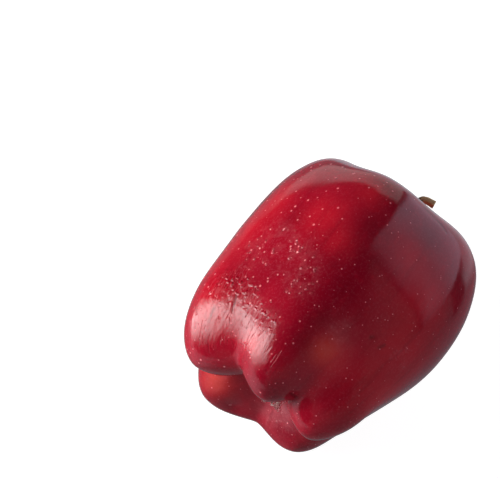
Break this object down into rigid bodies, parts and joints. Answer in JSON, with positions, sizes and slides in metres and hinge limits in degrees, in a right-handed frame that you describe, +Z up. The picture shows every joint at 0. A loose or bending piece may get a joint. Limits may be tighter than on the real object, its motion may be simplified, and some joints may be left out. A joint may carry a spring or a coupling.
{
  "type": "apple",
  "caption": "Whole ripe red apple, long and tapering, with ribs that end in knobs round the base, lying on its side with a bent stalk and a dried calyx.",
  "frame": {"origin": "middle of the bottom of the box round the apple, on the surface that it lies on", "axes": "+Z up, +X level and towards the stalk (the core leans up 14.5 degrees towards the stalk), +Y across the apple"},
  "size_m": [0.099, 0.0776, 0.0788],
  "materials": {
    "skin": "glossy waxed crimson apple skin with pale pores",
    "stalk": "dull brown woody stalk with a paler torn end",
    "calyx": "dry, downy grey-brown sepals"
  },
  "bodies": {
    "root": {"fruit": "skin", "stalk": "stalk", "calyx": "calyx"}
  },
  "joints": []
}
